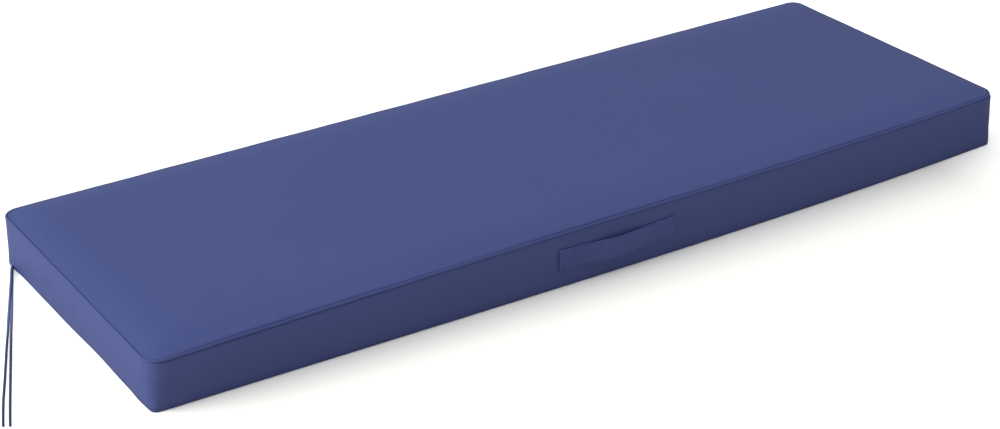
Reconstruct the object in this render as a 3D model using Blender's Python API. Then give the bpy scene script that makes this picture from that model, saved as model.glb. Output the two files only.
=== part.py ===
# Bench cushion: a boxed foam cushion with piping round its top seam, a carry strap on the
# front boxing and a pair of ties at the left rear corner. Metres, +Z up, the length along X,
# the front boxing with its strap facing -Y. It lies flat on z = 0, centred on the origin.

import math

import bmesh
import bpy
from mathutils import Vector

# Cushion, measured along its seams
LENGTH = 1.372
DEPTH = 0.457
TOP_CORNER_RADIUS = 0.022       # the corners are rounder at the top seam than at the bottom
BOTTOM_CORNER_RADIUS = 0.0095
FRONT_BOW = 0.0122              # the front boxing swells out this far at mid length
FRONT_BOW_SKEW = 0.006          # and further towards its right end
REAR_BOW = 0.002
BOXING_BULGE = 0.003            # between the seams, drawn in again at the corners
BOTTOM_ROUND = 0.002            # rounded edge at the bottom seam
CROWN = 0.0075                  # the middle of the top panel above its seam
CROWN_ROLL = 0.009              # how soon the panel rises from its seam

# Height of the top seam at each corner, where the filling stands a little uneven
SEAM_LEFT_FRONT = 0.0687
SEAM_RIGHT_FRONT = 0.0815
SEAM_RIGHT_REAR = 0.0790
SEAM_LEFT_REAR = 0.0740
SEAM_FRONT_RISE = 0.0052        # more at the middle of the front
SEAM_FRONT_RISE_SKEW = -0.0016  # and less towards its right end
SEAM_REAR_RISE = -0.0013

# Section through the top seam: outset from the seam line, rise above it.
# It runs up the boxing, into the groove that holds the piping and onto the top panel.
SEAM_SECTION = (
    (0.0013, -0.0085),
    (0.0008, -0.0041),
    (-0.0010, -0.0022),
    (-0.0021, -0.0010),
    (-0.0025, 0.0003),
    (-0.0026, 0.0015),
    (-0.0044, 0.0028),
)
PANEL_RING_INSETS = (0.009, 0.016, 0.028, 0.045, 0.070, 0.100, 0.140, 0.185)
PANEL_CORNER_EASE = 0.35    # the rings of the panel turn rounder towards its middle
NARROWEST_RING = 0.95       # a corner's radius stays under this share of a ring's half depth

# Piping in the top seam
PIPING_RADIUS = 0.0019
PIPING_OUTSET = 0.0

# Carry strap, box stitched at both ends
STRAP_CENTRE_X = -0.0172
STRAP_CENTRE_Z = 0.0436
STRAP_LENGTH = 0.189
STRAP_WIDTH = 0.032
STRAP_THICKNESS = 0.0022
STRAP_END_THICKNESS = 0.0034    # each end is folded under
STRAP_END_LENGTH = 0.028
STRAP_LIFT = 0.007              # clear of the boxing at its middle

CLEARANCE = 0.0004

# The plan's middle, placed so that the boxing at the rear and the strap in front of the
# cushion lie equally far from the origin
STRAP_OVERHANG = FRONT_BOW + BOXING_BULGE + CLEARANCE + STRAP_LIFT + STRAP_THICKNESS
REAR_OVERHANG = REAR_BOW + BOXING_BULGE
MIDDLE_Y = (STRAP_OVERHANG - REAR_OVERHANG) / 2

# Ties, lying loose on the surface; the outer one leaves the seam above the inner one
TIE_RADIUS = 0.0017
TIE_POINT_SPACING = 0.0085
TIE_REST = TIE_RADIUS + 0.0002
TIE_ROUTES = {
    "tie_inner": (
        (-0.6880, 0.2126, TIE_REST),
        (-0.6898, 0.2088, TIE_REST),
        (-0.6942, 0.2004, TIE_REST),
        (-0.7022, 0.1820, TIE_REST),
        (-0.7216, 0.1316, TIE_REST),
        (-0.7414, 0.0824, TIE_REST),
        (-0.7610, 0.0351, TIE_REST),
        (-0.7798, -0.0107, TIE_REST),
        (-0.7978, -0.0552, TIE_REST),
        (-0.8154, -0.0982, TIE_REST),
        (-0.8316, -0.1392, TIE_REST),
        (-0.8367, -0.1526, TIE_REST),
    ),
    "tie_outer": (
        (-0.6884, 0.2116, 0.0057),
        (-0.6912, 0.2060, 0.0057),
        (-0.6964, 0.1956, 0.0057),
        (-0.7049, 0.1766, 0.0056),
        (-0.7253, 0.1276, 0.0052),
        (-0.7452, 0.0810, 0.0038),
        (-0.7644, 0.0374, TIE_REST),
        (-0.7847, -0.0075, TIE_REST),
        (-0.8037, -0.0513, TIE_REST),
        (-0.8221, -0.0938, TIE_REST),
        (-0.8386, -0.1346, TIE_REST),
        (-0.8436, -0.1481, TIE_REST),
    ),
}

# Steps along the plan outline and over each piece
SIDE_STEPS_LONG = 28
SIDE_STEPS_SHORT = 10
CORNER_STEPS = 4
BOTTOM_ROUND_STEPS = 3
BOXING_STEPS = 5
STRAP_STEPS = 36
STRAP_SIDE_STEPS = 4
ROUTE_FINE_STEPS = 16       # between two points of a tie's route

CUSHION_COLOUR = (0.060, 0.078, 0.235, 1.0)
PIPING_COLOUR = (0.054, 0.070, 0.215, 1.0)
STRAP_COLOUR = (0.050, 0.064, 0.210, 1.0)
TIE_COLOUR = (0.048, 0.058, 0.180, 1.0)
CLOTH_ROUGHNESS = 0.85
SHARP_ANGLE = math.radians(40)


def clear_scene():
    for old in list(bpy.data.objects):
        bpy.data.objects.remove(old, do_unlink=True)


def cloth_material(name, colour):
    material = bpy.data.materials.new(name)
    material.use_nodes = True
    shader = material.node_tree.nodes["Principled BSDF"]
    shader.inputs["Base Color"].default_value = colour
    shader.inputs["Roughness"].default_value = CLOTH_ROUGHNESS
    shader.inputs["Metallic"].default_value = 0.0
    material.diffuse_color = colour
    return material


def add_object(name, data, collection, colour):
    obj = bpy.data.objects.new(name, data)
    obj.data.materials.append(cloth_material(name + "_cloth", colour))
    collection.objects.link(obj)
    return obj


def steps_between(first, last, count):
    # count points from first on, without the last, which starts the next stretch
    return [first + (last - first) * step / count for step in range(count)]


def bow_at(x, reach):
    # one at mid length, falling as a parabola to nothing at the corners
    return max(0.0, 1.0 - (x / reach) ** 2)


def front_bow(x, reach):
    # how far the front swells out here, a parabola leaning towards the right end
    return (FRONT_BOW + FRONT_BOW_SKEW * x / reach) * bow_at(x, reach)


def plan_outline(inset, seam_radius):
    # The rounded rectangle that lies inset inside the seam line, whose corners have seam_radius
    # there, anticlockwise from the left front corner. Each point has its outward direction and
    # its share of the boxing's bulge.
    half_x = LENGTH / 2 - inset
    half_y = DEPTH / 2 - inset
    radius = seam_radius - inset
    if inset > seam_radius / 3:
        radius = min(seam_radius * 2 / 3 + PANEL_CORNER_EASE * inset, NARROWEST_RING * half_y)
    straight_x = half_x - radius
    straight_y = half_y - radius
    bow_share = 1.0 - max(0.0, inset) / (DEPTH / 2)
    points = []

    def add(x, y, out_x, out_y, bulge):
        points.append((x, y + MIDDLE_Y, out_x, out_y, bulge))

    def add_corner(centre_x, centre_y, start_angle):
        for step in range(CORNER_STEPS):
            angle = start_angle + math.pi / 2 * step / CORNER_STEPS
            out_x = math.cos(angle)
            out_y = math.sin(angle)
            add(centre_x + radius * out_x, centre_y + radius * out_y, out_x, out_y, 0.0)

    for x in steps_between(-straight_x, straight_x, SIDE_STEPS_LONG):
        share = math.sqrt(bow_at(x, straight_x))
        add(x, -half_y - bow_share * front_bow(x, straight_x), 0.0, -1.0, share)
    add_corner(straight_x, -straight_y, -math.pi / 2)
    for y in steps_between(-straight_y, straight_y, SIDE_STEPS_SHORT):
        add(half_x, y, 1.0, 0.0, math.sqrt(bow_at(y, straight_y)))
    add_corner(straight_x, straight_y, 0.0)
    for x in steps_between(straight_x, -straight_x, SIDE_STEPS_LONG):
        bow = bow_at(x, straight_x)
        add(x, half_y + REAR_BOW * bow_share * bow, 0.0, 1.0, math.sqrt(bow))
    add_corner(-straight_x, straight_y, math.pi / 2)
    for y in steps_between(straight_y, -straight_y, SIDE_STEPS_SHORT):
        add(-half_x, y, -1.0, 0.0, math.sqrt(bow_at(y, straight_y)))
    add_corner(-straight_x, -straight_y, math.pi)
    return points


def corner_radius(share):
    # share of the way up the boxing
    return BOTTOM_CORNER_RADIUS + (TOP_CORNER_RADIUS - BOTTOM_CORNER_RADIUS) * share


def seam_height(x, y):
    # blended between the four corners, with the extra rise along the front and the rear
    across = min(1.0, max(0.0, x / LENGTH + 0.5))
    back = min(1.0, max(0.0, (y - MIDDLE_Y) / DEPTH + 0.5))
    bow = bow_at(x, LENGTH / 2)
    front = SEAM_LEFT_FRONT + (SEAM_RIGHT_FRONT - SEAM_LEFT_FRONT) * across
    front += (SEAM_FRONT_RISE + SEAM_FRONT_RISE_SKEW * (2 * across - 1)) * bow
    rear = SEAM_LEFT_REAR + (SEAM_RIGHT_REAR - SEAM_LEFT_REAR) * across
    rear += SEAM_REAR_RISE * bow
    return front + (rear - front) * back


def boxing_bulge(z, height):
    # a half wave between the bottom and the top seam
    return BOXING_BULGE * math.sin(math.pi * min(1.0, max(0.0, z / height)))


def ring_at(inset, seam_radius, height_of):
    return [Vector((x, y, height_of(x, y))) for x, y, *_ in plan_outline(inset, seam_radius)]


def boxing_ring(share):
    # one ring round the boxing, share of the way from the bottom to the top seam's section
    ring = []
    for x, y, out_x, out_y, bulge in plan_outline(0.0, corner_radius(share)):
        height = seam_height(x, y)
        top = height + SEAM_SECTION[0][1]
        z = BOTTOM_ROUND + (top - BOTTOM_ROUND) * share
        out = bulge * boxing_bulge(z, height)
        ring.append(Vector((x + out * out_x, y + out * out_y, z)))
    return ring


def loft(name, rings, collection, colour):
    # a closed solid over rings of equal point counts, its first and last ring filled
    mesh = bpy.data.meshes.new(name)
    work = bmesh.new()
    loops = [[work.verts.new(point) for point in ring] for ring in rings]
    count = len(rings[0])
    for lower, upper in zip(loops, loops[1:]):
        for index in range(count):
            following = (index + 1) % count
            work.faces.new((lower[index], lower[following], upper[following], upper[index]))
    work.faces.new(list(reversed(loops[0])))
    last_edges = [
        work.edges.get((loops[-1][index], loops[-1][(index + 1) % count])) for index in range(count)
    ]
    bmesh.ops.triangle_fill(work, use_beauty=True, edges=last_edges)
    bmesh.ops.recalc_face_normals(work, faces=work.faces[:])
    work.to_mesh(mesh)
    work.free()
    mesh.shade_smooth()
    mesh.set_sharp_from_angle(angle=SHARP_ANGLE)
    return add_object(name, mesh, collection, colour)


def make_cushion(collection):
    rings = []
    for step in range(BOTTOM_ROUND_STEPS + 1):
        angle = math.pi / 2 * step / BOTTOM_ROUND_STEPS
        inset = BOTTOM_ROUND * (1 - math.sin(angle))
        z = BOTTOM_ROUND * (1 - math.cos(angle))
        rings.append(ring_at(inset, BOTTOM_CORNER_RADIUS, lambda x, y, z=z: z))
    for step in range(1, BOXING_STEPS):
        rings.append(boxing_ring(step / BOXING_STEPS))
    for outset, rise in SEAM_SECTION:
        height_of = lambda x, y, rise=rise: seam_height(x, y) + rise
        rings.append(ring_at(-outset, TOP_CORNER_RADIUS, height_of))
    for inset in PANEL_RING_INSETS:
        rise = CROWN * (1 - math.exp(-inset / CROWN_ROLL))
        height_of = lambda x, y, rise=rise: seam_height(x, y) + rise
        rings.append(ring_at(inset, TOP_CORNER_RADIUS, height_of))
    loft("cushion_body", rings, collection, CUSHION_COLOUR)


def add_tube(name, points, radius, cyclic, collection, colour):
    curve = bpy.data.curves.new(name, "CURVE")
    curve.dimensions = "3D"
    curve.twist_mode = "Z_UP"
    curve.bevel_depth = radius
    curve.bevel_resolution = 2
    curve.use_fill_caps = not cyclic
    spline = curve.splines.new("POLY")
    spline.points.add(len(points) - 1)
    for target, point in zip(spline.points, points):
        target.co = (*point, 1.0)
    spline.use_cyclic_u = cyclic
    return add_object(name, curve, collection, colour)


def make_piping(collection):
    points = ring_at(-PIPING_OUTSET, TOP_CORNER_RADIUS, seam_height)
    add_tube("top_piping", points, PIPING_RADIUS, True, collection, PIPING_COLOUR)


def boxing_front_y(x, z):
    # the front boxing's face at this place along the strap
    height = seam_height(x, MIDDLE_Y - DEPTH / 2)
    reach = LENGTH / 2 - corner_radius(z / height)
    bulge = math.sqrt(bow_at(x, reach)) * boxing_bulge(z, height)
    return MIDDLE_Y - DEPTH / 2 - front_bow(x, reach) - bulge


def make_strap(collection):
    # Sections across the strap, one after the other along X. Each follows the boxing at the
    # stitched ends and is lifted clear of it between them, highest at the middle.
    half_free = STRAP_LENGTH / 2 - STRAP_END_LENGTH
    rings = []
    for step in range(STRAP_STEPS + 1):
        along = STRAP_LENGTH * (step / STRAP_STEPS - 0.5)
        x = STRAP_CENTRE_X + along
        free = min(1.0, abs(along) / half_free)
        lift = STRAP_LIFT * math.cos(math.pi / 2 * free) ** 2
        on_end = abs(along) > half_free
        thickness = STRAP_END_THICKNESS if on_end else STRAP_THICKNESS
        back = []
        front = []
        for side_step in range(STRAP_SIDE_STEPS + 1):
            z = STRAP_CENTRE_Z + STRAP_WIDTH * (side_step / STRAP_SIDE_STEPS - 0.5)
            back_y = boxing_front_y(x, z) - CLEARANCE - lift
            back.append(Vector((x, back_y, z)))
            front.append(Vector((x, back_y - thickness, z)))
        rings.append(back + list(reversed(front)))
    loft("handle_strap", rings, collection, STRAP_COLOUR)


def catmull_rom(before, start, end, after, share):
    # a smooth curve through start and end, its slopes taken from their neighbours
    slope_start = (end - before) / 2
    slope_end = (after - start) / 2
    square = share * share
    cube = square * share
    return (
        start * (2 * cube - 3 * square + 1)
        + slope_start * (cube - 2 * square + share)
        + end * (3 * square - 2 * cube)
        + slope_end * (cube - square)
    )


def smooth_route(route, spacing):
    # points at an even spacing along the smooth curve through the route's own points
    knots = [Vector(point) for point in route]
    knots = [2 * knots[0] - knots[1]] + knots + [2 * knots[-1] - knots[-2]]
    fine = [knots[1]]
    for index in range(1, len(knots) - 2):
        for step in range(1, ROUTE_FINE_STEPS + 1):
            fine.append(catmull_rom(*knots[index - 1:index + 3], step / ROUTE_FINE_STEPS))
    total = sum((second - first).length for first, second in zip(fine, fine[1:]))
    count = round(total / spacing)
    points = [fine[0]]
    walked = 0.0
    for first, second in zip(fine, fine[1:]):
        length = (second - first).length
        while len(points) < count and walked + length >= total * len(points) / count:
            share = (total * len(points) / count - walked) / length
            points.append(first.lerp(second, share))
        walked += length
    points.append(fine[-1])
    return points


def make_ties(collection):
    for name, route in TIE_ROUTES.items():
        points = smooth_route(route, TIE_POINT_SPACING)
        add_tube(name, points, TIE_RADIUS, False, collection, TIE_COLOUR)


def main():
    clear_scene()
    collection = bpy.data.collections.new("bench_cushion")
    bpy.context.scene.collection.children.link(collection)
    make_cushion(collection)
    make_piping(collection)
    make_strap(collection)
    make_ties(collection)


main()
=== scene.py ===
import math

import bpy
import numpy as np
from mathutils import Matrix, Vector


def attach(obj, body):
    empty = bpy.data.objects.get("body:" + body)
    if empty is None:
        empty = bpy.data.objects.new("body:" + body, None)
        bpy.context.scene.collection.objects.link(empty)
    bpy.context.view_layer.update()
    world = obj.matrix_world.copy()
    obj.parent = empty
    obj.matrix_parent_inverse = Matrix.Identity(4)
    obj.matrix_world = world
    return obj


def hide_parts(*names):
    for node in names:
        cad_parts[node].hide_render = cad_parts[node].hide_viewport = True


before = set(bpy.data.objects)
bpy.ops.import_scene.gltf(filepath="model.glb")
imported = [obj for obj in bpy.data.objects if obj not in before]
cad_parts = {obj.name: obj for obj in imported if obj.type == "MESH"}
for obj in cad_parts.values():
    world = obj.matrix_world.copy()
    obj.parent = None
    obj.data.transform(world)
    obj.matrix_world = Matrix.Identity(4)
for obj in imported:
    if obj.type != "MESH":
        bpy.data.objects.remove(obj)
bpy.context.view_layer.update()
print("frame loaded:", sorted(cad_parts))

scene = bpy.context.scene


# one quad for every cell of an index grid, named by the cell's four corners
def gridQuads(index, closed=False):
    after = np.roll(index, -1, axis=1) if closed else index[:, 1:]
    here = index if closed else index[:, :-1]
    return np.stack([here[:-1], after[:-1], after[1:], here[1:]], -1).reshape(-1, 4)


# the cloth coordinates of the same four corners: u along the columns, v along the rows;
# a closed grid has one value of u more than it has columns
def gridUv(u, v):
    places = np.stack(np.broadcast_arrays(u, v), -1)
    here, after = places[:, :-1], places[:, 1:]
    return np.stack([here[:-1], after[:-1], after[1:], here[1:]], -2).reshape(-1, 2)


# the same coordinates for quads whose corners are listed the other way round
def turned(uv):
    return uv.reshape(-1, 4, 2)[:, ::-1].reshape(-1, 2)


# a mesh object at the origin from points, quads and the quads' cloth coordinates;
# a cap is a ring of point numbers that closes an end
def makePiece(name, points, quads, uv, caps=()):
    mesh = bpy.data.meshes.new(name)
    mesh.from_pydata(points.tolist(), [], quads.tolist() + [list(map(int, cap)) for cap in caps])
    corners = np.zeros((len(mesh.loops), 2), np.float32)
    corners[: len(uv)] = uv
    mesh.uv_layers.new(name="clothUv").data.foreach_set("uv", corners.ravel())
    mesh.shade_smooth()
    piece = bpy.data.objects.new(name, mesh)
    scene.collection.objects.link(piece)
    return piece


def readPoints(mesh):
    flat = np.empty(len(mesh.vertices) * 3, np.float32)
    mesh.vertices.foreach_get("co", flat)
    return flat.reshape(-1, 3).astype(float)


def writePoints(mesh, points):
    mesh.vertices.foreach_set("co", points.astype(np.float32).ravel())
    mesh.update()


# a number for every point of a mesh, for its material to read
def paint(mesh, name, values):
    layer = mesh.attributes.new(name, "FLOAT", "POINT")
    layer.data.foreach_set("value", np.asarray(values, np.float32).ravel())


def unit(vectors):
    return vectors / np.linalg.norm(vectors, axis=-1, keepdims=True)


# zero below start, one above end, an S curve between them
def easeIn(values, start, end):
    share = np.clip((values - start) / (end - start), 0, 1)
    return share * share * (3 - 2 * share)


# a sum of sine waves of the given lengths and heights, each with a fixed random phase
def unevenness(places, seed, lengths, heights):
    phases = np.random.default_rng(seed).uniform(0, 2 * math.pi, len(lengths))
    parts = zip(lengths, heights, phases)
    return sum(high * np.sin(2 * math.pi * places / long + phase) for long, high, phase in parts)


def walkedAlong(path):
    return np.r_[0, np.cumsum(np.linalg.norm(np.diff(path, axis=0), axis=1))]


# points at an even spacing along the smooth cubic curve through a route's own points,
# where each point's slope is half the way from the point before it to the point after it
def evenPath(route, spacing, finer=16):
    knots = np.array(route, float)
    knots = np.vstack([2 * knots[0] - knots[1], knots, 2 * knots[-1] - knots[-2]])
    share = np.linspace(0, 1, finer, endpoint=False)[:, None]
    stretches = []
    for a, b, c, d in zip(knots, knots[1:], knots[2:], knots[3:]):
        terms = (2 * b, c - a, 2 * a - 5 * b + 4 * c - d, 3 * b - a - 3 * c + d)
        stretches.append(sum(term * share**power for power, term in enumerate(terms)) / 2)
    fine = np.vstack(stretches + [knots[-2:-1]])
    walked = walkedAlong(fine)
    places = np.linspace(0, walked[-1], round(walked[-1] / spacing) + 1)
    return np.stack([np.interp(places, walked, fine[:, axis]) for axis in range(3)], 1), places


# a round profile carried along a path: path + radius * (cos(turn) * side + sin(turn) * up), where
# side is level and square to the path, and up is square to both
def tubeGrid(path, radii, sides, closed=False):
    ahead = np.roll(path, -1, 0) - np.roll(path, 1, 0) if closed else np.gradient(path, axis=0)
    ahead = unit(ahead)
    side = unit(np.cross(ahead, [0.0, 0.0, 1.0]))
    up = np.cross(side, ahead)
    turn = np.linspace(0, 2 * math.pi, sides, endpoint=False)
    ring = np.cos(turn)[None, :, None] * side[:, None] + np.sin(turn)[None, :, None] * up[:, None]
    return path[:, None] + radii[:, None, None] * ring


# Camera

cameraView = {
    "azimuth": -33.314,
    "elevation": 27.067,
    "distance": 2.97997,
    "lookAt": (-0.05565, -0.00803, 0.0),
    "lens": 76.466,
    "sensor": 36,
}


# the camera stands at lookAt + distance * back, with back given by its two angles
def makeCamera():
    turn, rise = math.radians(cameraView["azimuth"]), math.radians(cameraView["elevation"])
    back = Vector((
        math.sin(turn) * math.cos(rise), -math.cos(turn) * math.cos(rise), math.sin(rise)
    ))
    camera = bpy.data.objects.new("camera", bpy.data.cameras.new("camera"))
    camera.data.sensor_width = cameraView["sensor"]
    camera.data.lens = cameraView["lens"]
    camera.location = Vector(cameraView["lookAt"]) + back * cameraView["distance"]
    camera.rotation_mode = "QUATERNION"
    camera.rotation_quaternion = (-back).to_track_quat("-Z", "Y")
    scene.collection.objects.link(camera)
    scene.camera = camera


makeCamera()
print("camera stands")


# Node helpers: each adds a node to a tree, takes sockets or plain values, gives its output


def feed(tree, socket, value):
    if isinstance(value, bpy.types.NodeSocket):
        tree.links.new(value, socket)
    else:
        socket.default_value = value


def calc(tree, operation, *values):
    node = tree.nodes.new("ShaderNodeMath")
    node.operation = operation
    for socket, value in zip(node.inputs, values):
        feed(tree, socket, value)
    return node.outputs[0]


def stretch(tree, vector, scale, turn=0.0):
    node = tree.nodes.new("ShaderNodeMapping")
    node.inputs["Rotation"].default_value = (0, 0, turn)
    node.inputs["Scale"].default_value = scale
    tree.links.new(vector, node.inputs["Vector"])
    return node.outputs[0]


def noise(tree, vector, scale, detail=2.0, roughness=0.5):
    node = tree.nodes.new("ShaderNodeTexNoise")
    node.inputs["Scale"].default_value = scale
    node.inputs["Detail"].default_value = detail
    node.inputs["Roughness"].default_value = roughness
    tree.links.new(vector, node.inputs["Vector"])
    return node.outputs["Fac"]


def remap(tree, value, fromLow, fromHigh, toLow, toHigh):
    node = tree.nodes.new("ShaderNodeMapRange")
    feed(tree, node.inputs["Value"], value)
    for name, amount in (
        ("From Min", fromLow), ("From Max", fromHigh), ("To Min", toLow), ("To Max", toHigh)
    ):
        feed(tree, node.inputs[name], amount)
    return node.outputs["Result"]


def blendColours(tree, amount, first, second):
    node = tree.nodes.new("ShaderNodeMix")
    node.data_type = "RGBA"
    feed(tree, node.inputs[0], amount)
    feed(tree, node.inputs[6], first)
    feed(tree, node.inputs[7], second)
    return node.outputs[2]


# the number that paint stored under this name
def painted(tree, name):
    node = tree.nodes.new("ShaderNodeAttribute")
    node.attribute_name = name
    return node.outputs["Fac"]


def newGroup(name, inputs, outputs):
    group = bpy.data.node_groups.new(name, "ShaderNodeTree")
    for label, kind in inputs:
        group.interface.new_socket(label, in_out="INPUT", socket_type=kind)
    for label in outputs:
        group.interface.new_socket(label, in_out="OUTPUT", socket_type="NodeSocketFloat")
    return group, group.nodes.new("NodeGroupInput"), group.nodes.new("NodeGroupOutput")


def place(tree, group, **values):
    node = tree.nodes.new("ShaderNodeGroup")
    node.node_tree = group
    for name, value in values.items():
        feed(tree, node.inputs[name], value)
    return node


weaveShape = {
    "across": 0.8,
    "lengthwise": 0.3,
    # how far a thread strays, in pitches, and on what scale
    "wobble": 0.6,
    "wobbleScale": 60.0,
}


# Plain weave over cloth coordinates in metres. With a = sin(pi u / pitch) and b the same of v,
# the warp lies on top where a * b > 0. A thread is rounded across by |a|^across and dips only
# slowly along its length, by |b|^lengthwise.
def weaveGroup():
    inputs = [("Cloth", "NodeSocketVector"), ("Threads", "NodeSocketFloat")]
    group, given, made = newGroup("plainWeave", inputs, ["Height"])
    parts = group.nodes.new("ShaderNodeSeparateXYZ")
    group.links.new(given.outputs["Cloth"], parts.inputs[0])
    wobble = noise(group, given.outputs["Cloth"], weaveShape["wobbleScale"], 1.0)
    wobble = calc(group, "MULTIPLY", wobble, weaveShape["wobble"])
    sines = []
    for axis in (0, 1):
        threads = calc(group, "MULTIPLY", parts.outputs[axis], given.outputs["Threads"])
        threads = calc(group, "ADD", threads, wobble)
        sines.append(calc(group, "SINE", calc(group, "MULTIPLY", threads, math.pi)))
    warpOnTop = calc(group, "GREATER_THAN", calc(group, "MULTIPLY", *sines), 0.0)
    a, b = (calc(group, "ABSOLUTE", sine) for sine in sines)

    def thread(across, lengthwise):
        across = calc(group, "POWER", across, weaveShape["across"])
        lengthwise = calc(group, "POWER", lengthwise, weaveShape["lengthwise"])
        return calc(group, "MULTIPLY", across, lengthwise)

    pick = group.nodes.new("ShaderNodeMix")
    group.links.new(warpOnTop, pick.inputs[0])
    group.links.new(thread(b, a), pick.inputs[2])
    group.links.new(thread(a, b), pick.inputs[3])
    group.links.new(pick.outputs[0], made.inputs["Height"])
    return group


yarnShape = {
    # scales of the noise across a thread and along it
    "slub": (1100, 26),
    # scale, detail and roughness of the noise
    "mottle": (5.0, 4.0, 0.55),
}


# Yarn that is a little thicker in places: noise drawn out along the warp and along the weft,
# and broad soft mottling from dyeing
def yarnGroup():
    inputs = [("Cloth", "NodeSocketVector"), ("Place", "NodeSocketVector")]
    group, given, made = newGroup("unevenYarn", inputs, ["Slub", "Mottle"])
    fine, coarse = yarnShape["slub"]
    slubs = [
        noise(group, stretch(group, given.outputs["Cloth"], scale), 1.0)
        for scale in ((fine, coarse, 1), (coarse, fine, 1))
    ]
    slub = calc(group, "MULTIPLY", calc(group, "ADD", *slubs), 0.5)
    group.links.new(slub, made.inputs["Slub"])
    mottle = noise(group, given.outputs["Place"], *yarnShape["mottle"])
    group.links.new(mottle, made.inputs["Mottle"])
    return group


weave = weaveGroup()
yarn = yarnGroup()

# each part's low and high value, then the light colour's share, or the roughness, at each
clothMix = {
    "weaveLight": (0.2, 0.95, 0.0, 0.55),
    "slubLight": (0.3, 0.7, -0.2, 0.2),
    "mottleLight": (0.3, 0.7, 0.1, 0.4),
    "mottleRough": (0.3, 0.7, -0.03, 0.03),
    "wornRough": 0.2,
    "slubHeight": 0.8,
}


# A woven cloth. Its colour is mixed between shade and light: darker in the weave's hollows, which
# is painted shade, and varied by the yarn and the mottling. One painted attribute makes it paler
# and rougher, as wear on the cover and as painted light on the ties; another makes it darker, as
# painted shade in the grooves and at the foot.
def clothMaterial(name, finish):
    material = bpy.data.materials.new(name)
    material.use_nodes = True
    tree = material.node_tree
    shader = tree.nodes["Principled BSDF"]
    shader.inputs["Specular IOR Level"].default_value = finish["specular"]
    shader.inputs["Sheen Weight"].default_value = finish["sheen"]
    shader.inputs["Sheen Roughness"].default_value = finish["sheenRoughness"]
    shader.inputs["Sheen Tint"].default_value = (*finish["sheenTint"], 1.0)

    coordinates = tree.nodes.new("ShaderNodeTexCoord")
    clothUv = tree.nodes.new("ShaderNodeUVMap")
    clothUv.uv_map = "clothUv"
    cloth = stretch(tree, clothUv.outputs[0], (1, 1, 1), finish["turn"])
    height = place(tree, weave, Cloth=cloth, Threads=finish["threads"]).outputs["Height"]
    strands = place(tree, yarn, Cloth=cloth, Place=coordinates.outputs["Object"])
    slub, mottle = strands.outputs["Slub"], strands.outputs["Mottle"]

    # painted shade in the weave's hollows: the crests take more of the light colour
    light = remap(tree, height, *clothMix["weaveLight"])
    light = calc(tree, "ADD", light, remap(tree, slub, *clothMix["slubLight"]))
    light = calc(tree, "ADD", light, remap(tree, mottle, *clothMix["mottleLight"]))
    colour = blendColours(tree, light, (*finish["shade"], 1), (*finish["light"], 1))
    # paler and rougher: wear on the cover, and painted light near the corner on the ties
    paleWearAndLight = calc(tree, "MULTIPLY", painted(tree, "wearAndPaintedLight"), finish["paleWearAndLightAmount"])
    colour = blendColours(tree, paleWearAndLight, colour, (*finish["paleWearAndLight"], 1))
    # darker: painted shade in the grooves beside the piping and at the foot
    deep = calc(tree, "MULTIPLY", painted(tree, "shadeMask"), finish["shadeStrength"])
    colour = blendColours(tree, deep, colour, (*finish["deep"], 1))
    tree.links.new(colour, shader.inputs["Base Color"])

    rough = calc(tree, "ADD", remap(tree, mottle, *clothMix["mottleRough"]), finish["roughness"])
    rough = calc(tree, "ADD", rough, calc(tree, "MULTIPLY", paleWearAndLight, clothMix["wornRough"]))
    tree.links.new(rough, shader.inputs["Roughness"])

    relief = calc(tree, "ADD", height, calc(tree, "MULTIPLY", slub, clothMix["slubHeight"]))
    bump = tree.nodes.new("ShaderNodeBump")
    bump.inputs["Strength"].default_value = finish["bump"]
    bump.inputs["Distance"].default_value = finish["threadHeight"]
    tree.links.new(relief, bump.inputs["Height"])
    tree.links.new(bump.outputs[0], shader.inputs["Normal"])
    return material


coverCloth = {
    "shade": (0.054, 0.075, 0.212),
    "light": (0.070, 0.094, 0.252),
    "paleWearAndLight": (0.095, 0.118, 0.290),
    # the colour of the painted shade in the grooves and at the foot; its strength is set two lines
    # down
    "deep": (0.034, 0.045, 0.135),
    "paleWearAndLightAmount": 0.25,
    "shadeStrength": 0.5,
    "roughness": 0.62,
    "specular": 0.12,
    "sheen": 0.02,
    "sheenRoughness": 0.45,
    "sheenTint": (0.75, 0.82, 1.0),
    "threads": 1450.0,
    "threadHeight": 0.00012,
    "bump": 0.5,
    "turn": 0.0,
}
pipingCloth = {**coverCloth, "turn": math.radians(45)}
strapCloth = {
    **coverCloth,
    "shade": (0.056, 0.078, 0.224),
    "light": (0.074, 0.099, 0.270),
    "threads": 1300.0,
    "threadHeight": 0.00016,
}
# The ties are the cover's cloth. Their shade and light colours are darker than the cover's, as
# painted shade, and their pale colour is painted light near the corner.
tieCord = {
    **coverCloth,
    "shade": (0.044, 0.055, 0.118),
    "light": (0.066, 0.080, 0.162),
    "paleWearAndLight": (0.180, 0.215, 0.375),
    "paleWearAndLightAmount": 1.0,
    "threads": 1150.0,
    "threadHeight": 0.0003,
    "bump": 0.7,
    "turn": math.radians(45),
}
threadFinish = {
    **coverCloth,
    "shade": (0.045, 0.060, 0.195),
    "light": (0.070, 0.092, 0.275),
    "threads": 2600.0,
    "threadHeight": 0.00008,
    "turn": math.radians(30),
}

# Ties, lying loose on the surface; the outer one leaves the corner above the inner one

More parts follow.
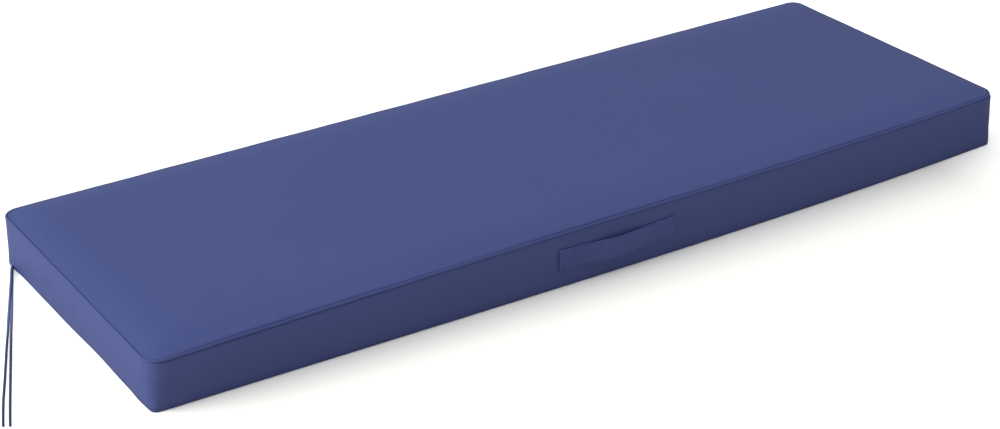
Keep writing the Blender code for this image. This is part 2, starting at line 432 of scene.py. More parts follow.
ties = {
    "diameter": 0.0034,
    "rest": 0.0019,
    "sewnAt": (-0.6835, 0.2257, 0.0019),
    "spacing": 0.0016,
    "sides": 14,
    # how much painted light makes a tie paler where it is sewn on, and from where to where that
    # fades
    "paintedLight": 1.0,
    "paintedLightFade": (0.125, 0.235),
    # how much thicker a tie is in one place: share, place along the tie, width
    "thicker": (0.12, 0.140, 0.035),
    # lengths of the waves in its thickness, and their heights as shares of the radius
    "waves": ((0.011, 0.0047, 0.031), (0.012, 0.01, 0.015)),
    "blunt": 0.04,
    "inner": (
        (-0.6879, 0.2152, 0.0019), (-0.6906, 0.2086, 0.0019), (-0.6944, 0.1995, 0.0019),
        (-0.7028, 0.1787, 0.0019), (-0.7133, 0.1532, 0.0019), (-0.7336, 0.1035, 0.0019),
        (-0.7553, 0.0507, 0.0019), (-0.7615, 0.0355, 0.0019), (-0.7802, -0.0104, 0.0019),
        (-0.7983, -0.0549, 0.0019), (-0.8158, -0.0979, 0.0019), (-0.8321, -0.1388, 0.0019),
        (-0.8373, -0.1522, 0.0019),
    ),
    "outer": (
        (-0.6909, 0.2099, 0.0052), (-0.6938, 0.2039, 0.0050), (-0.6975, 0.1952, 0.0048),
        (-0.7058, 0.1757, 0.0042), (-0.7164, 0.1516, 0.0036), (-0.7368, 0.1049, 0.0022),
        (-0.7590, 0.0532, 0.0019), (-0.7657, 0.0382, 0.0019), (-0.7852, -0.0071, 0.0019),
        (-0.8041, -0.0511, 0.0019), (-0.8226, -0.0935, 0.0019), (-0.8391, -0.1342, 0.0019),
        (-0.8442, -0.1477, 0.0019),
    ),
}


# A braided cord: a round profile along its route, a little uneven. Within one radius of its cut
# end its radius falls as a quarter round.
def makeTie(name, route, seed, material):
    sewnIn = np.array([ties["sewnAt"]]) + [0, 0, route[0][2] - ties["rest"]]
    path, places = evenPath(np.vstack([sewnIn, route]), ties["spacing"])
    radius = ties["diameter"] / 2
    share, centre, wide = ties["thicker"]
    radii = 1 + unevenness(places, seed, *ties["waves"])
    radii = radius * (radii + share * np.exp(-(((places - centre) / wide) ** 2)))
    intoEnd = 1 - np.clip((places[-1] - places) / radius, ties["blunt"], 1)
    points = tubeGrid(path, radii * np.sqrt(1 - intoEnd**2), ties["sides"])
    index = np.arange(points[..., 0].size).reshape(points.shape[:2])
    around = np.linspace(0, 2 * math.pi * radius, ties["sides"] + 1)
    tie = makePiece(
        name, points.reshape(-1, 3), gridQuads(index, closed=True)[:, ::-1],
        turned(gridUv(around[None], places[:, None])), (index[0], index[-1][::-1]),
    )
    tie.data.materials.append(material)
    # painted light: the tie is painted paler near the corner where it is sewn on
    pale = ties["paintedLight"] * (1 - easeIn(places, *ties["paintedLightFade"]))
    paint(tie.data, "wearAndPaintedLight", np.repeat(pale, ties["sides"]))
    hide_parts("tie_inner" if name == "innerTie" else "tie_outer")
    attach(tie, "root")
    print(name, "is", round(float(places[-1]), 4), "m long")


tieMaterial = clothMaterial("navyTieCord", tieCord)
makeTie("innerTie", ties["inner"], 3, tieMaterial)
makeTie("outerTie", ties["outer"], 8, tieMaterial)

# Cushion cover: its plan, the height of its seam and the sections through its seams

cushion = {
    "length": 1.372,
    "depth": 0.457,
    "middleY": 0.0099,
    # corner radii from the left front corner anticlockwise, at the top seam and at the bottom
    "topRadii": (0.022, 0.026, 0.017, 0.021),
    "bottomRadii": (0.0095, 0.0085, 0.009, 0.0105),
    "frontBow": 0.0122,
    "frontBowSkew": 0.006,
    "rearBow": 0.002,
    "leftFront": 0.0687,
    "rightFront": 0.0815,
    "rightRear": 0.0790,
    "leftRear": 0.0740,
    "frontRise": 0.0056,
    "frontRiseSkew": -0.0030,
    "frontRisePower": 1.6,
    "rearRise": -0.0013,
    # outset from the seam line and height, from the bottom panel to the foot of the boxing
    "bottomSection": (
        (-0.0045, 0.0), (-0.0030, 0.0), (-0.0018, 0.0001), (-0.0008, 0.0006),
        (-0.0002, 0.0017), (0.0, 0.0036),
    ),
    # outset and rise from the seam line, from the top of the boxing to the top panel: first
    # where the groove beside the piping stands open, then where it is shut
    "topSection": (
        (0.0011, -0.0100, 0.0011, -0.0100), (0.0011, -0.0070, 0.0012, -0.0070),
        (0.0008, -0.0046, 0.0013, -0.0048), (0.0000, -0.0031, 0.0015, -0.0032),
        (-0.0012, -0.0023, 0.0012, -0.0020), (-0.0021, -0.0013, 0.0003, -0.0012),
        (-0.0024, 0.0, -0.0012, 0.0), (-0.0023, 0.0012, -0.0007, 0.0009),
        (-0.0028, 0.0022, -0.0016, 0.0019), (-0.0044, 0.0032, -0.0036, 0.0030),
    ),
    # the row of topSection that lies level with the seam
    "seamRow": 6,
    # how far the lower and the upper groove are shut: along the front by x, then at the right
    # end, the rear and the left end; and how many times that is blurred
    "lowerFront": ((-0.62, 0.2), (-0.40, 0.1), (-0.30, 0.5), (-0.10, 0.75), (0.60, 0.85)),
    "lowerElsewhere": (0.8, 0.5, 0.95),
    "upperFront": (
        (-0.65, 1.0), (-0.60, 0.5), (-0.45, 0.45), (-0.36, 0.6), (-0.30, 1.0), (-0.22, 1.0),
        (-0.15, 0.4), (0.02, 0.4), (0.12, 0.5), (0.18, 0.9), (0.24, 0.5), (0.50, 0.6),
        (0.60, 0.9),
    ),
    "upperElsewhere": (0.8, 0.5, 0.62),
    "shutBlur": 12,
    "panelInsets": (0.0068, 0.0100, 0.0140),
    "crown": 0.0070,
    "crownRoll": 0.009,
    # how much flatter the panel and the roll beside the piping lie at the left end
    "flatness": 0.5,
    "flatReach": 0.030,
    "flatRoll": 0.6,
    "droop": 0.35,
    "droopReach": 0.035,
    "bulge": 0.0024,
    # how much fuller the boxing is near each of the same corners, and the share of its outset
    # under the seam that mid side loses
    "cornerFull": (0.0008, 0.0027, 0.0008, 0.0006),
    "middleDraw": 0.5,
    # waves of the left end's foot: place along y, height, width; they fade with the height
    "footWaves": ((-0.172, 0.0012, 0.018), (-0.05, -0.0016, 0.05), (0.210, 0.0016, 0.020)),
    "footFade": 0.018,
    "boxingRows": 9,
    # how far from its ends a side's graded steps stop
    "cornerReach": 0.02,
    "cellAtCorner": 0.0042,
    "cellAtMiddle": 0.0105,
    "cellFade": 0.05,
    "cornerCells": 3,
    "fill": 0.9,
}
coverWearAndShade = {
    # depths between which a groove gets painted shade, and how much less its last two rows get
    # where the groove is shut
    "groove": (0.0004, 0.0022),
    "lessWhereShut": (0.6, 1.5),
    # painted shade at the foot of the boxing; then the wear of the rolls beside the piping, and how
    # much less of it mid side
    "foot": 0.6,
    "roll": 0.5,
    "lessAtMiddle": 0.6,
}
swelling = {
    "pressure": 4.0,
    "frames": 20,
    "slack": -0.001,
    "stiffness": 15.0,
    "bending": 1.5,
    "mass": 0.2,
    "airDamping": 2.0,
    "quality": 6,
    "mostMove": 0.0025,
}


# places from -reach to reach, atEnds apart at both ends and atMiddle apart further in
def gradedSteps(reach, atEnds, atMiddle, fade, fineCount=4001):
    fine = np.linspace(-reach, reach, fineCount)
    spacing = atMiddle - (atMiddle - atEnds) * np.exp((np.abs(fine) - reach) / fade)
    counted = np.r_[0, np.cumsum(np.diff(fine) / (spacing[:-1] + spacing[1:]) * 2)]
    return np.interp(np.linspace(0, counted[-1], round(counted[-1]) + 1), counted, fine)


# how far the front bows out, a parabola that leans to the right; t runs from -1 to 1
def frontBow(t):
    return (cushion["frontBow"] + cushion["frontBowSkew"] * t) * np.clip(1 - t * t, 0, 1)


# The rounded plan, anticlockwise from the middle of the left front corner. A ring at an outset is
# plan + outset * outward; swell is 1 at mid side and 0 at its ends; side counts front, right,
# rear and left. Steps graded for one length give every set of radii the same number of points.
def planRing(radii, cells):
    halves = (cushion["length"] / 2, cushion["depth"] / 2)
    spacing = [cells[name] for name in ("cellAtCorner", "cellAtMiddle", "cellFade")]
    graded = [gradedSteps(half - cushion["cornerReach"], *spacing) for half in halves]
    arc = np.arange(cells["cornerCells"]) / cells["cornerCells"] * math.pi / 4
    plans, outward, swell, sides = [], [], [], []
    for side in range(4):
        t = graded[side % 2] / graded[side % 2][-1]
        first, last = radii[side], radii[(side + 1) % 4]
        reach, away = halves[side % 2], halves[1 - side % 2]
        facing = (side - 1) * math.pi / 2
        ahead = np.array([-math.sin(facing), math.cos(facing)])
        out = np.array([math.cos(facing), math.sin(facing)])
        bow = (frontBow(t), 0.0 * t, cushion["rearBow"] * (1 - t * t), 0.0 * t)[side]
        straight = (t * (reach - (first + last) / 2) + (first - last) / 2)[:, None] * ahead
        straight = straight + (away + bow)[:, None] * out
        before = facing - math.pi / 4 + arc
        after = facing + arc[1:]
        turns = [np.stack([np.cos(angles), np.sin(angles)], 1) for angles in (before, after)]
        startArc = (first - reach) * ahead + (away - first) * out + first * turns[0]
        endArc = (reach - last) * ahead + (away - last) * out + last * turns[1]
        plans += [startArc, straight, endArc]
        outward += [turns[0], np.tile(out, (len(t), 1)), turns[1]]
        swell += [np.zeros(len(before)), np.sqrt(1 - t**2), np.zeros(len(after))]
        sides.append(len(before) + len(t) + len(after))
    columns, rows = sides[:2]
    plan = np.vstack(plans) + [0, cushion["middleY"]]
    return plan, np.vstack(outward), np.hstack(swell), np.repeat(np.arange(4), sides), columns, rows


# blended between the heights at the four corners, with a rise along the front and the rear
def seamHeight(plan):
    across = np.clip(plan[..., 0] / cushion["length"] + 0.5, 0, 1)
    back = np.clip((plan[..., 1] - cushion["middleY"]) / cushion["depth"] + 0.5, 0, 1)
    t = 2 * across - 1
    bow = 1 - t * t
    front = cushion["leftFront"] + (cushion["rightFront"] - cushion["leftFront"]) * across
    rise = cushion["frontRise"] + cushion["frontRiseSkew"] * t
    front = front + rise * bow ** cushion["frontRisePower"]
    rear = cushion["leftRear"] + (cushion["rightRear"] - cushion["leftRear"]) * across
    rear = rear + cushion["rearRise"] * bow
    return front + (rear - front) * back


# the same values with every point's neighbours mixed in, round and round
def blurred(values, times):
    for turn in range(times):
        values = (np.roll(values, 1) + 2 * values + np.roll(values, -1)) / 4
    return values


# how far a groove is shut at every point of a ring
def shutAt(plan, side, along, elsewhere):
    places, amounts = np.array(cushion[along]).T
    front = np.interp(plan[:, 0], places, amounts)
    shut = np.where(side == 0, front, np.array([0.0, *cushion[elsewhere]])[side])
    return blurred(shut, cushion["shutBlur"])


# the value of the corner that is nearest, for values listed from the left front anticlockwise
def nearestCorner(plan, values):
    rear = plan[:, 1] > cushion["middleY"]
    right = plan[:, 0] > 0
    return np.array(values)[np.where(rear, np.where(right, 2, 3), np.where(right, 1, 0))]


# how far the left end's foot stands out: a sum of bell curves along y
def footWaves(plan, side):
    heights = sum(
        high * np.exp(-(((plan[:, 1] - place) / wide) ** 2))
        for place, high, wide in cushion["footWaves"]
    )
    return np.where(side == 3, heights, 0.0)


# a ring with its points moved along each side, so that they divide the side as those of the
# model ring do
def spacedLike(ring, model, columns, rows):
    starts = np.cumsum([0, columns, rows, columns, rows])
    ring, model = (np.vstack([points, points[:1]]) for points in (ring, model))
    spaced = []
    for first, last in zip(starts, starts[1:]):
        side = ring[first : last + 1]
        here, wanted = walkedAlong(side), walkedAlong(model[first : last + 1])
        places = wanted[:-1] / wanted[-1] * here[-1]
        spaced.append(np.stack([np.interp(places, here, axis) for axis in side.T], 1))
    return np.vstack(spaced)


# the grid of point numbers of a panel whose border is a ring and whose inner points follow first
def panelIndex(ring, first, columns, rows):
    index = np.empty((rows + 1, columns + 1), int)
    index[0, :-1] = ring[:columns]
    index[:-1, -1] = ring[columns : columns + rows]
    index[-1, :0:-1] = ring[columns + rows : 2 * columns + rows]
    index[:0:-1, 0] = ring[2 * columns + rows :]
    index[1:-1, 1:-1] = first + np.arange((rows - 1) * (columns - 1)).reshape(rows - 1, -1)
    return index


# how far each point of a curve has come on the straight way to its last point
def shareAlong(curve):
    run = curve[-1] - curve[0]
    return (curve - curve[0]) @ run / np.sum(run**2)


# the panel between four border curves: the blend of front and rear, plus the blend of left and
# right, less the blend of the four corners
def panelBetween(border):
    front, rear, left, right = border[0], border[-1], border[:, 0], border[:, -1]
    u, v = shareAlong(front)[None, :, None], shareAlong(left)[:, None, None]
    corners = (1 - u) * (1 - v) * front[0] + u * (1 - v) * front[-1]
    corners = corners + (1 - u) * v * rear[0] + u * v * rear[-1]
    return (1 - v) * front + v * rear + (1 - u) * left[:, None] + u * right[:, None] - corners


# how far a place lies inside the seam line: the lesser of the ways to the end and to the long
# side, joined by a quarter round at the corner
def insideBy(plan):
    radius = sum(cushion["topRadii"]) / 4
    t = 2 * plan[..., 0] / cushion["length"]
    fromEnd = cushion["length"] / 2 - np.abs(plan[..., 0])
    level = plan[..., 1] - cushion["middleY"]
    fromFront = level + cushion["depth"] / 2 + frontBow(t)
    fromRear = cushion["depth"] / 2 + cushion["rearBow"] * np.clip(1 - t * t, 0, 1) - level
    nearest = np.minimum(fromFront, fromRear)
    shortBy = np.hypot(np.clip(radius - fromEnd, 0, None), np.clip(radius - nearest, 0, None))
    return np.where(shortBy > 0, radius - shortBy, np.minimum(fromEnd, nearest))


# how much flatter the panel lies at the left end: flatness * exp(-distance / flatReach)
def flatShare(plan):
    distance = plan[..., 0] + cushion["length"] / 2
    return cushion["flatness"] * np.exp(-np.clip(distance, 0, None) / cushion["flatReach"])


# crown * (1 - exp(-inside / crownRoll)), which is flatter at the left end and droops towards
# the right front corner
def panelRise(plan, inside):
    corner = [cushion["length"] / 2, cushion["middleY"] - cushion["depth"] / 2]
    near = np.linalg.norm(plan[..., :2] - corner, axis=-1) / cushion["droopReach"]
    rise = cushion["crown"] * (1 - np.exp(-inside / cushion["crownRoll"]))
    return rise * (1 - cushion["droop"] * np.exp(-near * near)) * (1 - flatShare(plan))


# Every ring round the cushion, from the bottom panel over the boxing to the top panel. The boxing
# swells out by bulge * swell * sin(pi * height / height of the seam).
def coverRings(line):
    seam, outward, swell, side, columns, rows = line
    topRadii, bottomRadii = np.array(cushion["topRadii"]), np.array(cushion["bottomRadii"])
    seamTop = seamHeight(seam)
    lowerShut = shutAt(seam, side, "lowerFront", "lowerElsewhere")
    upperShut = shutAt(seam, side, "upperFront", "upperElsewhere")
    full = nearestCorner(seam, cushion["cornerFull"]) * (1 - swell)
    foot = footWaves(seam, side)

    def ring(share, out, high):
        plan = planRing(bottomRadii + (topRadii - bottomRadii) * share, cushion)[0]
        out = out + foot * np.exp(-high / cushion["footFade"])
        return np.column_stack([plan + out[:, None] * outward, np.broadcast_to(high, len(seam))])

    rings = [ring(0.0, out, high) for out, high in cushion["bottomSection"]]
    low, (topOut, topRise) = cushion["bottomSection"][-1][1], cushion["topSection"][0][:2]
    drawn = full - cushion["middleDraw"] * topOut * swell
    for share in np.linspace(0, 1, cushion["boxingRows"] + 2)[1:-1]:
        high = low + (seamTop + topRise - low) * share
        bulge = cushion["bulge"] * swell * np.sin(math.pi * high / seamTop)
        rings.append(ring(share, bulge + share * (topOut + drawn), high))
    outs, seamRow = [], cushion["seamRow"]
    for row, (openOut, openRise, shutOut, shutRise) in enumerate(cushion["topSection"]):
        shut = lowerShut if row < seamRow else upperShut
        if row == seamRow:
            shut = (lowerShut + upperShut) / 2
        outs.append(openOut + (shutOut - openOut) * shut)
        rise = openRise + (shutRise - openRise) * shut
        if row > seamRow + 1:
            rise = rise * (1 - cushion["flatRoll"] * flatShare(seam))
        bulge = cushion["bulge"] * swell * np.sin(math.pi * np.clip(-rise / seamTop, 0, 1))
        out = outs[-1] + bulge + np.clip(outs[-1] / topOut, 0, 1) * drawn
        rings.append(ring(1.0, out, seamTop + rise))
    for inset in cushion["panelInsets"]:
        plan = spacedLike(seam - inset * outward, seam, columns, rows)
        rings.append(np.column_stack([plan, seamHeight(plan) + panelRise(plan, inset)]))
    return rings, np.array(outs), upperShut


# the points of the rings, then the inner points of the top panel and of the bottom panel
def fillPanels(rings, columns, rows):
    ringIndex = np.arange(len(rings) * len(rings[0])).reshape(len(rings), -1)
    inner = (columns - 1) * (rows - 1)
    topIndex = panelIndex(ringIndex[-1], ringIndex.size, columns, rows)
    bottomIndex = panelIndex(ringIndex[0], ringIndex.size + inner, columns, rows)
    points = np.zeros((ringIndex.size + 2 * inner, 3))
    points[: ringIndex.size] = np.vstack(rings)
    for index in (topIndex, bottomIndex):
        points[index[1:-1, 1:-1]] = panelBetween(points[index])[1:-1, 1:-1]
    crowned = topIndex[1:-1, 1:-1]
    plan = points[crowned]
    points[crowned, 2] = seamHeight(plan) + panelRise(plan, insideBy(plan))
    return points, ringIndex, topIndex, bottomIndex


# the grooves and the foot get painted shade, and the rolls beside them wear, most at the corners
def paintWearAndShade(cover, ringIndex, outs, swell, upperShut):
    foot = len(cushion["bottomSection"])
    top = foot + cushion["boxingRows"]
    shadeMask, wearAndPaintedLight = np.zeros(ringIndex.shape), np.zeros(ringIndex.shape)
    # painted shade in the grooves beside the piping, and below along the foot
    shadeMask[top : top + len(outs)] = easeIn(-outs, *coverWearAndShade["groove"])
    for row, less in enumerate(coverWearAndShade["lessWhereShut"], top + len(outs) - 2):
        shadeMask[row] *= np.clip(1 - less * upperShut, 0, 1)
    shadeMask[1:foot] = coverWearAndShade["foot"]
    wearAndPaintedLight[top - 2 :] = coverWearAndShade["roll"] * (1 - coverWearAndShade["lessAtMiddle"] * swell)
    wearAndPaintedLight -= np.minimum(wearAndPaintedLight, shadeMask)
    inner = np.zeros(len(cover.data.vertices) - ringIndex.size)
    for name, values in (("shadeMask", shadeMask), ("wearAndPaintedLight", wearAndPaintedLight)):
        paint(cover.data, name, np.r_[values.ravel(), inner])


# the cover, its points, which of them may move, its rings and the number of its columns in front
def makeCover(material):
    line = planRing(cushion["topRadii"], cushion)
    seam, swell, columns, rows = line[0], line[2], line[4], line[5]
    rings, outs, upperShut = coverRings(line)
    points, ringIndex, topIndex, bottomIndex = fillPanels(rings, columns, rows)
    quads = np.vstack([
        gridQuads(ringIndex, closed=True), gridQuads(topIndex), gridQuads(bottomIndex)[:, ::-1]
    ])
    around = walkedAlong(np.vstack([seam, seam[:1]]))
    up = walkedAlong(points[ringIndex[:, columns // 2]])
    uv = np.vstack([
        gridUv(around[None], up[:, None]),
        gridUv(points[topIndex][..., 0], points[topIndex][..., 1]),
        turned(gridUv(points[bottomIndex][..., 0], points[bottomIndex][..., 1])),
    ])
    cover = makePiece("cushionCover", points, quads, uv)
    cover.data.materials.append(material)
    paintWearAndShade(cover, ringIndex, outs, swell, upperShut)

    foot = len(cushion["bottomSection"])
    top = foot + cushion["boxingRows"]
    free = np.zeros(len(points), bool)
    free[ringIndex[foot:top]] = True
    free[ringIndex[top + len(outs) :]] = True
    free[topIndex[1:-1, 1:-1]] = True
    return cover, points, free, ringIndex, columns


# The filling pushes the cover out: cloth with pressure inside, its seams and its bottom held.
# A move of d becomes most * tanh(d / most), so no point moves further than mostMove.
def swellCover(cover, start, free):
    held = cover.vertex_groups.new(name="held")
    held.add(np.flatnonzero(~free).tolist(), 1.0, "REPLACE")
    cloth = cover.modifiers.new("filling", "CLOTH")
    settings = cloth.settings
    settings.quality = swelling["quality"]
    settings.mass = swelling["mass"]
    settings.tension_stiffness = settings.compression_stiffness = swelling["stiffness"]
    settings.shear_stiffness = swelling["stiffness"] / 2
    settings.bending_stiffness = swelling["bending"]
    settings.air_damping = swelling["airDamping"]
    settings.use_pressure = True
    settings.uniform_pressure_force = swelling["pressure"]
    settings.shrink_min = swelling["slack"]
    settings.vertex_group_mass = "held"
    settings.effector_weights.gravity = 0
    cloth.collision_settings.use_collision = False
    cloth.collision_settings.use_self_collision = False
    cloth.point_cache.frame_start = 1
    cloth.point_cache.frame_end = swelling["frames"]
    for step in range(1, swelling["frames"] + 1):
        scene.frame_set(step)
    swollen = cover.evaluated_get(bpy.context.evaluated_depsgraph_get())
    moved = readPoints(swollen.data) - start
    cover.modifiers.remove(cloth)
    scene.frame_set(1)
    distance = np.linalg.norm(moved, axis=1, keepdims=True)
    print("filling moved the cover up to", round(float(distance.max()) * 1000, 2), "mm")
    most = swelling["mostMove"]
    return start + moved * (most * np.tanh(distance / most) / np.maximum(distance, 1e-9))


coverMaterial = clothMaterial("navyCoverCloth", coverCloth)
cover, coverPoints, coverFree, ringNumbers, frontColumns = makeCover(coverMaterial)
print("cover drawn with", len(coverPoints), "points")
coverPoints = swellCover(cover, coverPoints, coverFree)
writePoints(cover.data, coverPoints)
print("cover filled")

smooth = cover.modifiers.new("smooth", "SUBSURF")
smooth.levels = smooth.render_levels = 1
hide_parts("cushion_body")
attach(cover, "root")

# Piping round the top seam

piping = {
    "radius": 0.0019,
    "sides": 14,
    # waves: random seed, how many go round, heights as shares of the radius; then those that
    # show only where the seam turns, and those of its level, in metres
    "thickness": (5, (91, 167, 263), (0.012, 0.010, 0.008)),
    "ripples": (6, (700, 910), (0.014, 0.012)),
    "rise": (7, (23, 41), (0.00012, 0.0001)),
    "turnsBelow": 0.22,
    "cellAtCorner": 0.0024,
    "cellAtMiddle": 0.0042,
    "cellFade": 0.03,
    "cornerCells": 6,
}


# the cord under its bias strip: a round profile along the seam, a little uneven, and drawn
# into fine ripples where the strip turns a corner
def makePiping(material):
    line = planRing(cushion["topRadii"], piping)
    path = np.column_stack([line[0], seamHeight(line[0])])
    around = walkedAlong(np.vstack([path, path[:1]]))

    def waves(name):
        seed, counts, heights = piping[name]
        return unevenness(around[:-1], seed, [around[-1] / count for count in counts], heights)

    turning = 1 - easeIn(line[2], 0.0, piping["turnsBelow"])
    thickness = 1 + waves("thickness") + turning * waves("ripples")
    path[:, 2] += waves("rise")
    points = tubeGrid(path, piping["radius"] * thickness, piping["sides"], closed=True)
    index = np.arange(points[..., 0].size).reshape(points.shape[:2])
    index = np.vstack([index, index[:1]])
    turn = np.linspace(0, 2 * math.pi * piping["radius"], piping["sides"] + 1)
    piece = makePiece(
        "seamPiping", points.reshape(-1, 3), gridQuads(index, closed=True)[:, ::-1],
        turned(gridUv(turn[None], around[:, None])),
    )
    piece.data.materials.append(material)
    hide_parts("top_piping")
    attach(piece, "root")


makePiping(clothMaterial("navyPipingCloth", pipingCloth))
print("piping laid in the seam")

# Carry strap on the front boxing

strap = {
    "centreX": -0.0172,
    "centreZ": 0.0436,
    "length": 0.189,
    "width": 0.032,
    "thickness": 0.0022,
    "endThickness": 0.0034,
    "endLength": 0.028,
    # from where to where the thickness grows, counted from the stitched end's inner edge
    "endStep": (-0.0015, 0.002),
    "lift": 0.0060,
    "droop": 0.0019,
    "clearance": 0.0003,
    "cornerRadius": 0.0026,
    # a higher power sharpens the long edges, a higher floor blunts the tips
    "edgePower": 14,
    "tipRound": 0.0016,
    "tipFloor": 0.02,
    "cell": 0.0011,
    # the part of a quarter turn that grades the cells, along the strap and across it
    "graded": (0.86, 0.93),
}
stitches = {
    "inset": 0.0027,
    "dip": 0.0005,
    "dipWidth": 0.0011,
    # thinner than this share, the strap has no dip
    "dipFrom": 0.8,
    "length": 0.0028,
    "gap": 0.0008,
    "radius": 0.0003,
    # shares of the radius: how far a stitch bows out and how deep its ends lie
    "bow": 0.9,
    "depth": 0.3,
    "blunt": 0.06,
    "rings": 7,
    "sides": 8,
    "girth": 0.0016,
}


# the front boxing's face under the strap, read from the cover's own rings
def boxingFace(x, z):
    foot = len(cushion["bottomSection"])
    numbers = ringNumbers[foot - 1 : foot + cushion["boxingRows"] + 1, : frontColumns + 1]
    out, high = (
        np.array([np.interp(x, ring[:, 0], ring[:, axis]) for ring in coverPoints[numbers]])
        for axis in (1, 2)
    )
    faces = [np.interp(*column) for column in zip(z.T, high.T, out.T)]
    return np.stack(faces, 1)


# the seams of the strap, as (along, across) ends: a box with a cross at each stitched end and
# a line near each long edge
def strapSeams():
    half, inset = strap["length"] / 2, stitches["inset"]
    wide, reach = strap["width"] / 2 - inset, half - strap["endLength"] + inset
    seams = []
    for end in (-1, 1):
        outer, inner = end * (half - inset), end * reach
        seams += [((outer, -wide), (outer, wide)), ((inner, -wide), (inner, wide))]
        seams += [((outer, -wide), (inner, wide)), ((outer, wide), (inner, -wide))]
        seams += [((outer, -wide), (inner, -wide)), ((outer, wide), (inner, wide))]
    seams += [((-reach, -wide), (reach, -wide)), ((-reach, wide), (reach, wide))]
    return np.array(seams)


# how near each place is to the closest seam line
def seamDistance(along, across):
    ends = strapSeams()
    start, run = ends[:, 0], ends[:, 1] - ends[:, 0]
    place = np.stack(np.broadcast_arrays(along, across), -1)[..., None, :] - start
    share = np.clip(np.sum(place * run, -1) / np.sum(run * run, -1), 0, 1)
    return np.linalg.norm(place - share[..., None] * run, axis=-1).min(-1)


# half the strap's width: less towards its tips, where its corners are rounded
def strapReach(along):
    corner = strap["cornerRadius"]
    past = np.clip((np.abs(along) - strap["length"] / 2) / corner + 1, 0, 1)
    return strap["width"] / 2 - corner * (1 - np.sqrt(1 - past**2))


# Outer face: boxing face + clearance + lift * cos^2 towards the stitched ends + thickness, less
# the dip of the seams. The edges and ends are rounded, and between its ends the strap hangs lower
# by droop. The second grid is the inner face.
def strapFaces(along, across):
    half = strap["length"] / 2
    halfFree = half - strap["endLength"]
    lift = strap["lift"] * np.cos(math.pi / 2 * np.clip(np.abs(along) / halfFree, 0, 1)) ** 2
    hang = strap["droop"] * np.clip(1 - (along / half) ** 4, 0, 1)
    x = strap["centreX"] + along
    z = strap["centreZ"] + across - hang
    folded = easeIn(np.abs(along), *(halfFree + step for step in strap["endStep"]))
    thick = strap["thickness"] + (strap["endThickness"] - strap["thickness"]) * folded
    edge = 1 - np.clip(np.abs(across) / strapReach(along), 0, 1) ** strap["edgePower"]
    tip = 1 - np.clip((np.abs(along) - half) / strap["tipRound"] + 1, 0, 1) ** 2
    full = thick * np.sqrt(edge) * np.sqrt(np.clip(tip, strap["tipFloor"], 1))
    back = boxingFace(x[0], z) - strap["clearance"] - lift - (thick - full) / 2
    near = seamDistance(along, across) / stitches["dipWidth"]
    dip = stitches["dip"] * np.exp(-near * near) * (full > thick * stitches["dipFrom"])
    front = back - full + dip
    wide = np.broadcast_to(x, z.shape)
    return np.stack([wide, front, z], -1), np.stack([wide, back, z], -1)


# places from -1 to 1, closer together towards both ends, as the sine of an even turn
def gradedShares(count, share):
    turn = np.linspace(-1, 1, count + 1) * math.pi / 2 * share
    return np.sin(turn) / np.sin(turn[-1])


def makeStrap(material):
    columns, rows = (round(strap[size] / strap["cell"]) for size in ("length", "width"))
    alongShares, acrossShares = map(gradedShares, (columns, rows), strap["graded"])
    along = (strap["length"] / 2 * alongShares)[None]
    across = acrossShares[:, None] * strapReach(along)
    front, back = strapFaces(along, across)
    loop = np.vstack([front, back[-2:0:-1]]).transpose(1, 0, 2)
    index = np.arange(loop[..., 0].size).reshape(loop.shape[:2])
    steps = np.diff(np.concatenate([loop, loop[:, :1]], 1), axis=1)
    girth = np.r_[0, np.cumsum(np.linalg.norm(steps, axis=-1).mean(0))]
    piece = makePiece(
        "carryStrap", loop.reshape(-1, 3), gridQuads(index, closed=True),
        gridUv(girth[None], along[0][:, None]), (index[0][::-1], index[-1]),
    )
    piece.data.materials.append(material)
    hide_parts("handle_strap")
    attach(piece, "root")


# middles, as (along, across), and directions of stitches at an even pitch along every seam
def stitchPlaces():
    places, runs = [], []
    for start, end in strapSeams():
        span = np.linalg.norm(end - start)
        number = max(1, round(span / (stitches["length"] + stitches["gap"])))
        share = (np.arange(number) + 0.5) / number
        places.append(start + share[:, None] * (end - start))
        runs.append(np.repeat([(end - start) / span], number, axis=0))
    return np.vstack(places), np.vstack(runs)


# Every stitch is a small spindle: centre + ahead * t * length / 2, with a round profile whose
# radius falls as a half circle towards both ends, lying just in the dip of its seam.
def makeStitches(material):
    places, runs = stitchPlaces()
    reach, radius = stitches["length"] / 2, stitches["radius"]
    first, centre, last = (
        strapFaces(spots[None, :, 0], spots[None, :, 1])[0][0]
        for spots in (places - runs * reach, places, places + runs * reach)
    )
    ahead = unit(last - first)
    side = unit(np.cross(ahead, [0.0, -1.0, 0.0]))
    out = np.cross(side, ahead)
    out *= np.sign(-out[:, 1:2])
    t = np.linspace(-1, 1, stitches["rings"])
    turn = np.linspace(0, 2 * math.pi, stitches["sides"], endpoint=False)
    fat = radius * np.sqrt(np.clip(1 - t**2, stitches["blunt"], 1))
    bow = radius * (stitches["bow"] * (1 - t**2) - stitches["depth"])
    line = centre[:, None] + (reach * t)[None, :, None] * ahead[:, None]
    line = line + bow[None, :, None] * out[:, None]
    ring = np.cos(turn)[:, None] * side[:, None, None] + np.sin(turn)[:, None] * out[:, None, None]
    points = line[:, :, None] + ring * fat[None, :, None, None]
    index = np.arange(points[..., 0].size).reshape(points.shape[:3])
    quads = np.vstack([gridQuads(one, closed=True) for one in index])
    girth = np.linspace(0, stitches["girth"], stitches["sides"] + 1)
    corners = np.tile(gridUv(girth[None], (t * reach)[:, None]), (len(index), 1))
    caps = [one[0][::-1] for one in index] + [one[-1] for one in index]
    piece = makePiece("strapStitches", points.reshape(-1, 3), quads, corners, caps)
    piece.data.materials.append(material)
    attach(piece, "root")
    print(len(index), "stitches sewn")


makeStrap(clothMaterial("navyStrapCloth", strapCloth))
makeStitches(clothMaterial("navyThread", threadFinish))
print("strap sewn on")

# Floor and light

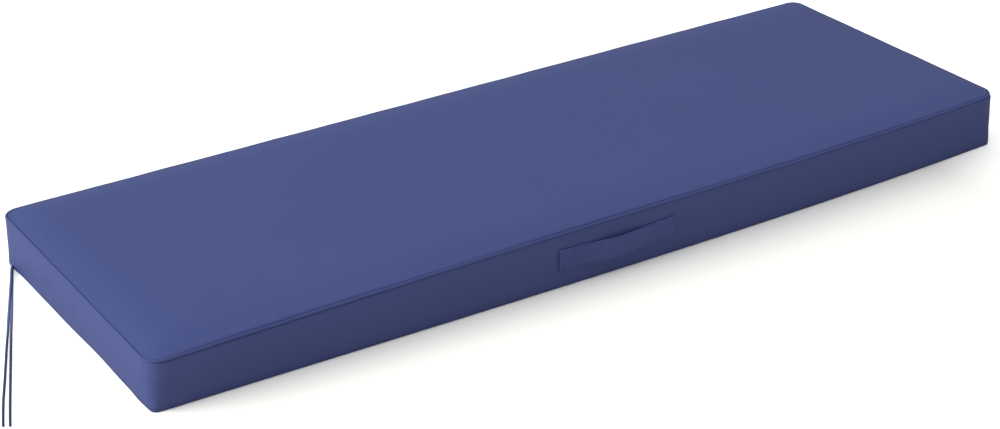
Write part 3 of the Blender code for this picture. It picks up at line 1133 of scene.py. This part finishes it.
studio = {
    "floorReach": 30,
    "floorRoughness": 0.9,
    # the floor's colour as the camera sees it and as its light falls on the cushion
    "floorColour": (1.30, 1.27, 1.16),
    "floorBounce": (0.74, 0.64, 0.53),
    # how strong the glow is, painted light seen only by the camera that washes out the shadows
    # beyond the cushion's ends, and the places along x between which it grows
    "glow": 0.62,
    "glowLeft": (-0.66, -0.70),
    "glowRight": (0.56, 0.86),
    "skyColour": (0.96, 0.98, 1.04),
    "skyLight": 0.66,
    "backdrop": 1.0,
    "keyPower": 238.0,
    "keyPlace": (-4.95, 1.0, 2.25),
    "keySize": (4.0, 2.6),
}


# a level floor that glows beyond the cushion's two ends, a painted light seen only by the camera
def makeFloor():
    reach = studio["floorReach"]
    corners = [(x * reach, y * reach, 0) for x, y in ((-1, -1), (1, -1), (1, 1), (-1, 1))]
    mesh = bpy.data.meshes.new("floor")
    mesh.from_pydata(corners, [], [(0, 1, 2, 3)])
    floor = bpy.data.objects.new("floor", mesh)
    scene.collection.objects.link(floor)
    material = bpy.data.materials.new("paleFloor")
    material.use_nodes = True
    tree = material.node_tree
    shader = tree.nodes["Principled BSDF"]
    shader.inputs["Roughness"].default_value = studio["floorRoughness"]
    shader.inputs["Specular IOR Level"].default_value = 0.0
    shader.inputs["Emission Strength"].default_value = 1.0
    toCamera = tree.nodes.new("ShaderNodeLightPath").outputs["Is Camera Ray"]
    bounce, shown = (*studio["floorBounce"], 1), (*studio["floorColour"], 1)
    colour = blendColours(tree, toCamera, bounce, shown)
    tree.links.new(colour, shader.inputs["Base Color"])
    coordinates = tree.nodes.new("ShaderNodeTexCoord")
    parts = tree.nodes.new("ShaderNodeSeparateXYZ")
    tree.links.new(coordinates.outputs["Object"], parts.inputs[0])
    # painted light: an emitted glow for the camera beyond the cushion's ends
    left, right = (
        remap(tree, parts.outputs[0], *studio[name], 0.0, 1.0) for name in ("glowLeft", "glowRight")
    )
    beyond = calc(tree, "MULTIPLY", calc(tree, "MAXIMUM", left, right), studio["glow"])
    glow = calc(tree, "MULTIPLY", beyond, toCamera)
    glowColour = blendColours(tree, glow, (0, 0, 0, 1), (1, 1, 1, 1))
    tree.links.new(glowColour, shader.inputs["Emission Color"])
    mesh.materials.append(material)


# a pale sky that the camera sees as white, and one large soft lamp
def makeLight():
    world = bpy.data.worlds.new("studio")
    scene.world = world
    world.use_nodes = True
    tree = world.node_tree
    background = tree.nodes["Background"]
    toCamera = tree.nodes.new("ShaderNodeLightPath").outputs["Is Camera Ray"]
    colour = blendColours(tree, toCamera, (*studio["skyColour"], 1), (1, 1, 1, 1))
    tree.links.new(colour, background.inputs["Color"])
    strength = remap(tree, toCamera, 0, 1, studio["skyLight"], studio["backdrop"])
    tree.links.new(strength, background.inputs["Strength"])
    key = bpy.data.lights.new("key", "AREA")
    key.shape = "RECTANGLE"
    key.size, key.size_y = studio["keySize"]
    key.energy = studio["keyPower"]
    lamp = bpy.data.objects.new("key", key)
    lamp.location = studio["keyPlace"]
    lamp.rotation_mode = "QUATERNION"
    lamp.rotation_quaternion = (-Vector(studio["keyPlace"])).to_track_quat("-Z", "Y")
    scene.collection.objects.link(lamp)
    scene.view_settings.view_transform = "Standard"


makeFloor()
makeLight()
print("floor and light stand")
